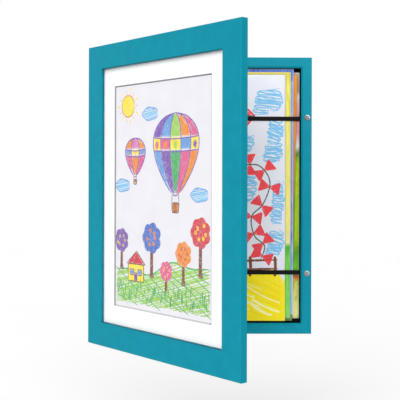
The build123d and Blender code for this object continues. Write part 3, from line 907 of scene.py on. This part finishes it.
def drawBalloon(page, balloon, width, values):
    levels, shares, radius, mouth = values["levels"], *(balloon[name] for name in ("shares", "radius", "mouth"))
    x, y = balloon["middle"]

    # A point at a share of the balloon's width, and at a share of its drop from the crown
    def at(across, share):
        (fullness, roundness), within = values["bulge"], min(share, 0.9999)
        half = radius * sin(pi * within ** fullness) ** roundness + mouth * within
        return (x + across * half, y + radius - share * balloon["drop"])

    for row, names in enumerate((balloon["tops"], balloon["bands"], balloon["skirts"])):
        steps = [levels[row] + (levels[row + 1] - levels[row]) * n / 10 for n in range(11)]
        for n, name in enumerate(names):
            left = [at(shares[n], step) for step in steps]
            right = [at(shares[n + 1], step) for step in reversed(steps)]
            page.patch(left + right, [(name, width, 60 if n % 2 else 35, 0, 0.8), (name, width, -50, 3, 2.1)])
    seams = [[at(share, n / 24) for n in range(25)] for share in shares]
    for level in levels[1:]:
        seams.append([(a, b - values["sag"] * (1 - across * across))
                      for across in [n / 8 - 1 for n in range(17)] for a, b in [at(across, level)]])
    for seam in seams:
        page.line(seam, "plum", width * 0.9, 8)
    share, below, size, tall = values["windows"]
    for left, right, name in zip(shares, shares[1:], reversed(balloon["tops"])):
        a, b = at((left + right) / 2, share)
        page.fill(circle(a, b - below, radius * size, tall), name, width * 0.8, 20, 6, 0.8)
    half, drop = (radius * part for part in values["basketSize"])
    top = at(0, 1)[1]
    for side in (-1, 1):
        page.line([(x + side * mouth, top), (x + side * half, top - drop)], "bark", width * 0.6, 8)
    page.patch(shaped(values["basket"], x, top - drop, half, half),
               [("bark", width, 10, 0, 0.9), ("orange", width * 0.6, 95, 4, 2.4)], ("bark", width * 0.9, 8))


def drawSun(page, x, y, radius, rays, width, values):
    page.fill(circle(x, y, radius), "sun", width, 25, 0, 0.7)
    page.line(circle(x, y, radius, count=28), "orange", width, 6, closed=True)
    for n in range(rays):
        turn, (reach, name) = tau * n / rays, values["rays"][n % 2]
        steps = [radius * share for share in (*values["rayStart"], reach)]
        page.line([(x + step * cos(turn), y + step * sin(turn)) for step in steps], name, width * 1.2, 2)


# A round outline with lobes, for clouds and crowns
def lobed(x, y, radius, lobes, tall=1.0, count=48):
    reach = [0.84 + 0.16 * abs(sin(lobes * pi * n / count)) for n in range(count)]
    return [(x + a * share, y + b * share) for share, (a, b) in zip(reach, circle(0, 0, radius, tall, count))]


def drawTree(page, x, foot, trunk, radius, crown, fruit, width):
    half, top, y = radius * 0.17, foot + trunk + radius * 0.3, foot + trunk + radius
    stem = [(x - half * 1.6, foot), (x + half * 1.6, foot), (x + half * 0.8, foot + 6), (x + half * 0.7, top),
            (x - half * 0.7, top), (x - half * 0.8, foot + 6)]
    page.patch(stem, [("bark", width, 84, 4, 0.7)], ("bark", width * 0.8, 8))
    page.patch(lobed(x, y, radius, 7), [(crown, width, 38, 6, 0.72), (crown, width * 0.8, -48, 9, 1.9)],
               (crown, width * 1.1, 12))
    for n in range(6):
        turn, reach = page.near(tau * n / 6, 0.3), radius * page.near(0.5, 0.12)
        spot = circle(x + reach * cos(turn), y + reach * sin(turn), radius * 0.17, count=10)
        page.fill(spot, fruit, width * 0.8, 20, 14, 0.6)


def drawHouse(page, x, foot, half, tall, width, values):
    wall, roof = (shaped(values[name], x, foot, half, tall) for name in ("wall", "roof"))
    page.fill(wall, "sun", width, 12, 4, 0.75)
    page.fill(roof, "red", width, 55, 5, 0.75)
    for left, low, wide, high, name in values["panes"]:
        pane = [(left + a * wide, low + b * high) for a, b in ((0, 0), (1, 0), (1, 1), (0, 1))]
        page.patch(shaped(pane, x, foot, half, tall), [(name, width * 0.9, 80, 8, 0.7)], ("bark", width * 0.7, 10))
    for outline in (wall, roof):
        page.line(outline, "bark", width * 0.9, 9, closed=True)


def drawHill(page, width, values):
    level, long, length, short, shortness = values["hill"]
    crest = [(x, level + long * sin(x / length) + short * sin(x / shortness))
             for x in range(*values["crest"])]
    page.patch(crest + values["foot"],
               [("lime", width, 14, 0, 1.25, 4.0), ("leaf", width * 0.8, -24, 2, 6.5, 9.0)])
    page.line(crest, "leaf", width * 1.2, 3)
    for x in range(*values["blades"]):
        foot, lean, tall = page.near(-126, 9), page.near(1, 3), page.near(10, 5)
        page.line([(x, foot), (x + lean * 0.4, foot + tall * 0.5), (x + lean, foot + tall)],
                  page.chance.choice(values["grass"]), page.near(width * 0.9, 0.3), 11)


def drawDisplayPicture(values):
    page = Drawing(values["seed"])
    thick, usual, fine = values["widths"]
    for balloon in values["balloons"]:
        drawBalloon(page, balloon, thick, values)
    drawSun(page, *values["sun"], usual, values)
    for x, y in values["clouds"]:
        page.patch(lobed(x, y, *values["cloud"]), [("ice", usual, 8, 0, 1.4)], ("sky", fine, 6))
    drawHill(page, usual, values)
    drawHouse(page, *values["house"], fine, values)
    for tree in values["trees"]:
        drawTree(page, *tree, usual)
    return page


# Stands a page's plane upright in front of a sheet, with its front towards -Y
def standing(low, high):
    middle = (low + high) / 2
    return Matrix.Translation((middle.x, low.y, middle.z)) @ Matrix.Rotation(radians(90), 4, "X")


def hangDisplayPicture(values):
    place = opened @ standing(*corners(["display_sheet"], shut))
    wax = waxFinish("colouredPencil", paperWhites["display"], values["wax"])
    piece = drawDisplayPicture(values).made("display_drawing", place, wax, values["strokes"])
    finished(piece, "door", "display_paper")
    dress(["display_sheet"], paperFinish("displayPaper", paperWhites["display"], plainPaper))


hangDisplayPicture(displayPicture)
print("picture drawn")


# The five fanned drawings rise a little towards their edges between the straps
fannedSheets = {
    "riseShares": [1.0, 0.5, 0.35, 0.2, 0.1],
    "step": 4.0,
    "half": (120, 168),
    "rise": 1.8,
    "endRise": 0.6,
    "ripple": (0.12, 23, 31, 1.0),
    "hold": 26.0,
    "thickness": 0.34,
    "uncovered": 100.0,
}
strapLow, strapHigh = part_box("strap_upper")
strapAt = ((strapLow.z + strapHigh.z) / 2 - middleHeight) / mm


# How far paper stands off the stack at a place given in metres
def paperRise(x, z, share, values):
    x, z = x / mm, (z - middleHeight) / mm
    bay = 1 - exp(-(((abs(z) - strapAt) / values["hold"]) ** 2))
    (wide, tall), (high, across, up, start) = values["half"], values["ripple"]
    sides = values["rise"] * (abs(x) / wide) ** 3 + values["endRise"] * (abs(z) / tall) ** 6
    return share * bay * (sides + high * (1 + sin(x / across + start) * sin(z / up))) * mm


# A stored sheet's lower left corner and the sides that meet there, which give its lean
def sheetSides(node):
    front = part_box(node)[0].y
    ends = [vertex.co for vertex in nodes[node].data.vertices if vertex.co.y < front + 0.1 * mm]
    corner, right, top = (min(ends, key=lambda point: point.x * a + point.z * b)
                          for a, b in ((1, 1), (-1, 1), (1, -1)))
    return corner, right - corner, top - corner


# How far a point lies outside the sheet ahead, in millimetres
def beyond(point, corner, *sides):
    reach = Vector((point.x - corner.x, 0, point.z - corner.z))
    right, top = (reach.dot(side) / side.length for side in sides)
    return max(-right, right - sides[0].length, -top, top - sides[1].length) / mm


# A grid over a stored sheet, from the corner at its lower left
def sheetMesh(name, order, share, values):
    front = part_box(name)[0].y
    corner, across, up = sheetSides(name)
    ahead = sheetSides("stored_sheet_" + str(order - 1)) if order > 1 else None
    columns, rows = (round(side.length / mm / values["step"]) for side in (across, up))
    points, insets, covers = [], [], []
    for row in range(rows + 1):
        for column in range(columns + 1):
            point = corner + across * column / columns + up * row / rows
            point.y = front - paperRise(point.x, point.z, share, values)
            points.append(point)
            insets.append(min(column, columns - column, row, rows - row) * values["step"])
            covers.append(beyond(point, *ahead) if ahead else values["uncovered"])
    firsts = [row * (columns + 1) + column for row in range(rows) for column in range(columns)]
    mesh = bpy.data.meshes.new(name)
    mesh.from_pydata(points, [], [(n, n + 1, n + columns + 2, n + columns + 1) for n in firsts])
    mesh.shade_smooth()
    for label, numbers in (("inset", insets), ("beyond", covers)):
        mesh.attributes.new(label, "FLOAT", "POINT").data.foreach_set("value", numbers)
    return mesh


# Sheets coloured over in crayon. Their edges are paler, partly where the colouring stops short and partly as painted
# light, and beside the edge of the sheet ahead each carries a painted contact shadow. A stop is a share of the height
# and a shade
crayonWash = {
    "height": 0.34,
    "wander": (90, 3.0, 0.5),
    "reach": 0.03,
    "tooth": (900, 3.0, 0.7),
    "worn": (-0.12, 0.05),
    "pressed": (0.48, 0.66),
    "marginWidth": (0.8, 2.4),
    "tuckedWidth": (0.6, 2.6),
    "rough": (0.6, 0.9),
    "skin": (0.00004, 0.6, 0.2),
}
sheetWashes = {
    2: {"stretch": 0.12, "bare": 0.40, "pale": 0.35, "margin": 0.3, "tucked": (120, 120, 30),
        "stops": [(0.0, 140, 222, 98), (0.24, 128, 218, 86), (0.295, 70, 184, 54), (0.315, 236, 238, 170),
                  (0.40, 252, 244, 140), (0.93, 246, 240, 116), (0.98, 232, 214, 78)],
        "deepStops": [(0.0, 104, 206, 70), (0.26, 90, 198, 58), (0.30, 44, 160, 36), (0.32, 226, 230, 140),
                      (0.42, 246, 236, 110), (0.98, 224, 202, 50)]},
    3: {"stretch": 0.10, "bare": 0.42, "pale": 0.6, "margin": 0.6, "tucked": (56, 72, 130),
        "stops": [(0.0, 176, 206, 244), (0.30, 164, 198, 240), (0.33, 100, 112, 220), (0.38, 180, 180, 240),
                  (0.62, 160, 160, 238), (0.80, 160, 182, 240), (0.95, 170, 198, 242), (0.966, 98, 138, 238)],
        "deepStops": [(0.0, 140, 176, 236), (0.33, 82, 92, 206), (0.5, 118, 118, 222), (0.75, 124, 138, 226),
                      (0.95, 120, 150, 232), (0.966, 60, 94, 220)]},
    4: {"stretch": 0.2, "bare": 0.30, "pale": 0.5, "margin": 0.1, "tucked": (96, 70, 50),
        "stops": [(0.0, 128, 172, 78), (0.45, 124, 162, 50), (0.52, 186, 146, 50), (0.66, 232, 162, 70),
                  (0.80, 246, 160, 60), (0.92, 250, 158, 52)],
        "deepStops": [(0.0, 92, 146, 48), (0.45, 104, 146, 34), (0.54, 196, 134, 48), (0.96, 240, 138, 38)]},
    5: {"stretch": 0.4, "bare": 0.38, "pale": 0.25, "margin": 0.3, "tucked": (90, 60, 40),
        "stops": [(0.0, 238, 240, 164), (0.155, 206, 206, 80), (0.166, 214, 98, 30), (0.176, 160, 92, 28),
                  (0.19, 116, 208, 52), (0.24, 96, 188, 40), (0.275, 86, 160, 22), (0.31, 156, 208, 18),
                  (0.62, 182, 220, 18), (0.675, 96, 158, 10), (0.695, 246, 244, 240), (0.76, 238, 156, 158),
                  (0.87, 244, 190, 192), (0.90, 246, 244, 242), (0.925, 180, 142, 114), (0.99, 208, 184, 166)],
        "deepStops": [(0.0, 206, 208, 100), (0.155, 170, 172, 40), (0.17, 150, 60, 16), (0.19, 74, 176, 36),
                      (0.27, 44, 128, 20), (0.32, 138, 192, 4), (0.62, 150, 196, 4), (0.67, 66, 132, 4),
                      (0.71, 232, 206, 204), (0.80, 218, 82, 92), (0.90, 238, 226, 222), (0.97, 152, 108, 78)]},
}


def washFinish(name, values):
    stretch = (1, 1, values["stretch"])
    values = {**crayonWash, **values, "streak": (620, 3.0, 0.6, stretch), "deep": (300, 2.0, 0.5, stretch)}
    finish = Finish(name, values, boxFromMiddle)
    wander, streak, tooth, deep = finish.noises("wander", "streak", "tooth", "deep")
    share = finish.apart(finish.spot)[2] / values["height"] + 0.5 + (wander - 0.5) * values["reach"]
    bareSpan = [values["bare"] + shift for shift in values["worn"]]
    bare = finish.eased(streak * 0.7 + tooth * 0.3, *bareSpan, 1.0, 0.0)
    shade = finish.mix(bare * values["pale"], finish.ramp(share, values["stops"]), paperWhites["stored"])
    pressed = finish.eased(deep, *values["pressed"]) * 0.8
    shade = finish.mix(pressed, shade, finish.ramp(share, values["deepStops"]))
    # paler margin: partly colouring that stops short of the edge, partly painted light
    margin = finish.eased(finish.attribute("inset") + tooth, *values["marginWidth"], values["margin"], 0.0)
    shade = finish.mix(margin, shade, paperWhites["stored"])
    # painted contact shadow beside the edge of the sheet ahead
    tucked = finish.eased(finish.attribute("beyond") + tooth, *values["tuckedWidth"], 0.5, 0.0)
    return finish.coated(finish.mix(tucked, shade, values["tucked"]), tooth, tooth + streak)


# The edges of the many sheets in the pack, one behind the other, with dark stripes of painted shade for the gaps
# between them
packEdges = {"edges": (1.0, 1.0, 0.5, (5, 2860, 5)), "dark": (122, 121, 120)}


def packedEdges(finish, clouds):
    edges, = finish.noises("edges")
    # dark stripes: painted shade between the sheets
    return finish.eased(edges, 0.56, 0.40) * 0.6, packEdges["dark"]


# Crayon rubbed thinly under the field's strokes
fieldRubbing = {"shade": (254, 234, 40), "top": -0.106, "blur": 0.004, "corner": 0.1, "fall": 0.9}


def rubbedField(finish, clouds):
    across, _, up = finish.apart(finish.spot)
    crest = up + (across - fieldRubbing["corner"]).above(0.0) * fieldRubbing["fall"] + clouds * 0.002
    top = middleHeight + fieldRubbing["top"]
    return finish.eased(crest, top, top - fieldRubbing["blur"]) * 0.85, fieldRubbing["shade"]


def layStoredSheets(values):
    for order, share in enumerate(values["riseShares"], 1):
        node = "stored_sheet_" + str(order)
        piece = linked("stored_paper_" + str(order), sheetMesh(node, order, share, values))
        solid = piece.modifiers.new("paper", "SOLIDIFY")
        solid.thickness, solid.offset = values["thickness"] * mm, -1
        if order in sheetWashes:
            paper = washFinish("crayonWash" + str(order), sheetWashes[order])
        else:
            paper = paperFinish("storedPaper", paperWhites["stored"], plainPaper, rubbedField)
        piece.data.materials.append(paper)
        settled(piece)
        finished(piece, "box", "drawing_paper", node)
    packed = {**plainPaper, "cloud": 0.12, **packEdges}
    dress(["sheet_pack"], paperFinish("packedPaper", paperWhites["packed"], packed, packedEdges))


layStoredSheets(fannedSheets)


# The front one of the stored drawings: kites over a yellow field, in thick crayon
kitePicture = {
    "seed": 23,
    "kites": [((34, 112), 42, 50, "scarlet", "orange"), ((-72, 96), 28, 36, "plum", "rose")],
    "kite": [(0, 0.8), (1, 0), (0, -1), (-1, 0)],
    "tails": [[(34, 62), (56, 46), (82, 44), (97, 22), (88, -8), (72, -26), (76, -52), (90, -66), (84, -86)],
              [(-72, 60), (-60, 36), (-74, 10), (-56, -14), (-66, -40), (-52, -62)]],
    "bows": ["scarlet", "leaf"],
    "bow": [(0, 0), (13, 8), (13.65, -8)],
    "sky": [(94, 132, 20, 17, 6), (104, 92, 11, 20, -8), (101, 62, 13, 14, 10), (107, -6, 9, 30, 5),
            (66, 14, 12, 20, 10), (104, -62, 12, 18, -4), (66, 74, 9, 12, 4), (-16, 144, 22, 12, 5),
            (-106, 142, 10, 16, -8), (-22, 40, 24, 22, 6), (4, -22, 26, 20, -5), (-104, -4, 12, 40, 7),
            (-20, -66, 24, 12, 3), (-100, -66, 15, 14, -6)],
    "scribble": [(-1, -1), (0.5, -0.9), (0.95, -0.1), (0.8, 1), (-0.6, 0.8), (-0.8, 0)],
    "field": [(-117.5, -106), (-80, -98), (-40, -104), (0, -98), (44, -96), (76, -102), (100, -98), (117.5, -118),
              (117.5, -167), (-117.5, -167)],
    "streaks": 46,
    "streak": [(0, 100), (-136, 26), (18, 9)],
    "streakBend": [(-1, 0.56), (-0.3, 0.147), (0.4, -0.168), (1, -0.36)],
    "streakTones": ["cream", "straw", "straw"],
    "streakWidth": (2.3, 1.1),
    "edge": (118, -168.4),
    "edgeInsets": (2.4, 5.0),
    "posts": (-100, 112, 34),
    "rails": (-86, -98),
    "strokes": {"Step": 0.0016, "Relief": 0.004, "Layer rise": 0.000006, "Unevenness": 0.8, "Seed": 9.0, "tone": 0.06,
                "page": (117.9, 168.3)},
    "wax": {"tooth": (700, 3.0, 0.65), "drag": 160, "lines": 5.0, "bare": 0.34, "rough": (0.85, 0.5),
            "skin": (0.00004, 0.7, 0.2)},
}


def drawBow(page, x, y, turn, bow, shade):
    lean, middle = degrees(turn), Vector((x, y))
    for side in (-1, 1):
        points = [middle + Matrix.Rotation(turn, 2) @ Vector((side * a, b)) for a, b in bow]
        page.patch(points, [(shade, 1.8, lean + 70, 5, 0.62), (shade, 1.4, lean + 20, 7, 1.6)], (shade, 1.8, 9))


def drawKite(page, middle, half, tall, shade, second, kite):
    top, right, bottom, left = shaped(kite, *middle, half, tall)
    for start, end, name, lean in ((top, right, shade, 35), (right, bottom, second, -40),
                                   (bottom, left, shade, 40), (left, top, second, -30)):
        page.fill([start, end, middle], name, 3.2, lean, 0, 0.8, 1.2)
    page.line([top, right, bottom, left], shade, 2.6, 6, closed=True)
    for ends in ((top, bottom), (left, right)):
        page.line(ends, "stem", 1.8, 7)


def drawKitePicture(values):
    page = Drawing(values["seed"])
    for x, y, half, tall, lean in values["sky"]:
        page.patch(shaped(values["scribble"], x, y, half, tall),
                   [("azure", 1.9, lean - 12, 0, 1.5, 3.0, True), ("azure", 1.3, lean - 16, 3, 4.2, 7.0, True)])
    for kite in values["kites"]:
        drawKite(page, *kite, values["kite"])
    for tail, name in zip(values["tails"], values["bows"]):
        path = smoothed(tail)
        for n in range(5, len(path) - 1, 7):
            slope = path[n + 1] - path[n]
            drawBow(page, *path[n], atan2(slope.y, slope.x) + pi / 2, values["bow"], name)
        page.line(path, "stem", 1.6, 12)
    page.patch(values["field"], [("lemon", 5.0, -20, 0, 0.66, 1.5), ("lemon", 3.4, -27, 3, 1.5, 8.0)])
    for n in range(values["streaks"]):
        x, y, reach = (page.near(*part) for part in values["streak"])
        points = [(x + reach * a, y + reach * b) for a, b in values["streakBend"]]
        page.line(points, page.chance.choice(values["streakTones"]), page.near(*values["streakWidth"]), 6)
    for inset in values["edgeInsets"]:  # the colouring keeps to the edges of the sheet
        x, y = values["edge"][0] - inset, values["edge"][1] + inset
        page.line([(x, -120), (x, y), (-x, y), (-x, -108)], "lemon", 4.4, 6)
    for x in range(*values["posts"]):  # fence
        page.line([(x, -108), (x + 1, -94), (x, -80)], "bark", 4.2, 7)
    for y in values["rails"]:
        page.line([(-110, y), (-30, y + 2), (40, y - 1), (108, y + 1)], "bark", 3.0, 6)
    return page


def layKitePicture(values):
    place = standing(*corners(["stored_sheet_1"]))
    wax = waxFinish("waxCrayon", paperWhites["stored"], values["wax"])
    piece = drawKitePicture(values).made("stored_drawing", place, wax, values["strokes"])
    for vertex in piece.data.vertices:  # the strokes follow the paper's rise
        vertex.co.y -= paperRise(vertex.co.x, vertex.co.z, 1, fannedSheets)
    finished(piece, "box", "drawing_paper")


layKitePicture(kitePicture)
print("stored drawings laid")


# Woven elastic: a ribbed band that runs over the stack and back along the sides of the well
elasticBands = {
    "Corner": 0.0012,
    "Width": 0.006,
    "Thickness": 0.00084,
    "Rib": 0.00007,
    "Ribs": 9.0,
    "Step": 0.0006,
    "inset": 0.45,
    "shades": ((5, 5, 5), (24, 24, 23)),
    "picks": 5200,
    "yarns": 9000,
    "sway": (2600, 1.4),
    "fluff": (2400, 3.0, 0.7),
    "rough": (0.95, 0.7),
    "sheen": {"Sheen Weight": 0.25, "Sheen Roughness": 0.4},
    "skin": (0.00008, 0.8, 0.2),
}


def bandTree(values):
    pattern = Pattern("ribbedBand", values)
    band = pattern.add("MeshToCurve", {"Mesh": pattern.given})
    band = pattern.rounded(band, 6, pattern["Corner"], {"Limit Radius": True})
    band, _ = pattern.line(band)
    profile = pattern.rounded(pattern.oblong(pattern["Thickness"], pattern["Width"]), 3, pattern["Thickness"] * 0.35)
    profile = pattern.add("ResampleCurve", {"Curve": profile, "Count": 110}, {"mode": "COUNT"})
    x, y, _ = pattern.apart(pattern.add("InputPosition"))
    wave = (y / pattern["Width"] * pattern["Ribs"] * tau).cosine()
    profile = pattern.moved(profile, "Offset", pattern.joined(x.sign() * (wave - 1) * pattern["Rib"]))
    return pattern.result(pattern.swept(band, pattern.stored(profile, "across", y)))


def elasticFinish(values):
    finish = Finish("blackElastic", values)
    along, across = finish.attribute("along"), finish.attribute("across")
    sway, reach = values["sway"]
    pick = (along * values["picks"]).sine() * 0.5 + 0.5
    yarn = (across * values["yarns"] + (along * sway).sine() * reach).sine() * 0.5 + 0.5
    weave, (fluff,) = pick * 0.5 + yarn * 0.5, finish.noises("fluff")
    shade = finish.toned(weave * 0.6 + fluff * 0.4, 0.3, 0.8)
    return finish.coated(shade, weave, weave + fluff * 0.6, (0, 1), values["sheen"])


def stretchStraps(values):
    tree, material = bandTree(values), elasticFinish(values)
    for side in ("upper", "lower"):
        low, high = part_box("strap_" + side)
        inset, height = values["inset"] * mm, (low.z + high.z) / 2
        left, right, front, tail = low.x + inset, high.x - inset, low.y + inset, high.y
        mesh = bpy.data.meshes.new("strap")
        mesh.from_pydata([(left, tail, 0), (left, front, 0), (right, front, 0), (right, tail, 0)],
                         [(0, 1), (1, 2), (2, 3)], [])
        inputs = {**values, "Width": high.z - low.z, "Material": material}
        piece = grown("elastic_strap_" + side, tree, mesh, inputs)
        piece.data.transform(Matrix.Translation((0, 0, height)))
        finished(piece, "box", "black_elastic", "strap_" + side)


stretchStraps(elasticBands)
print("straps stretched")
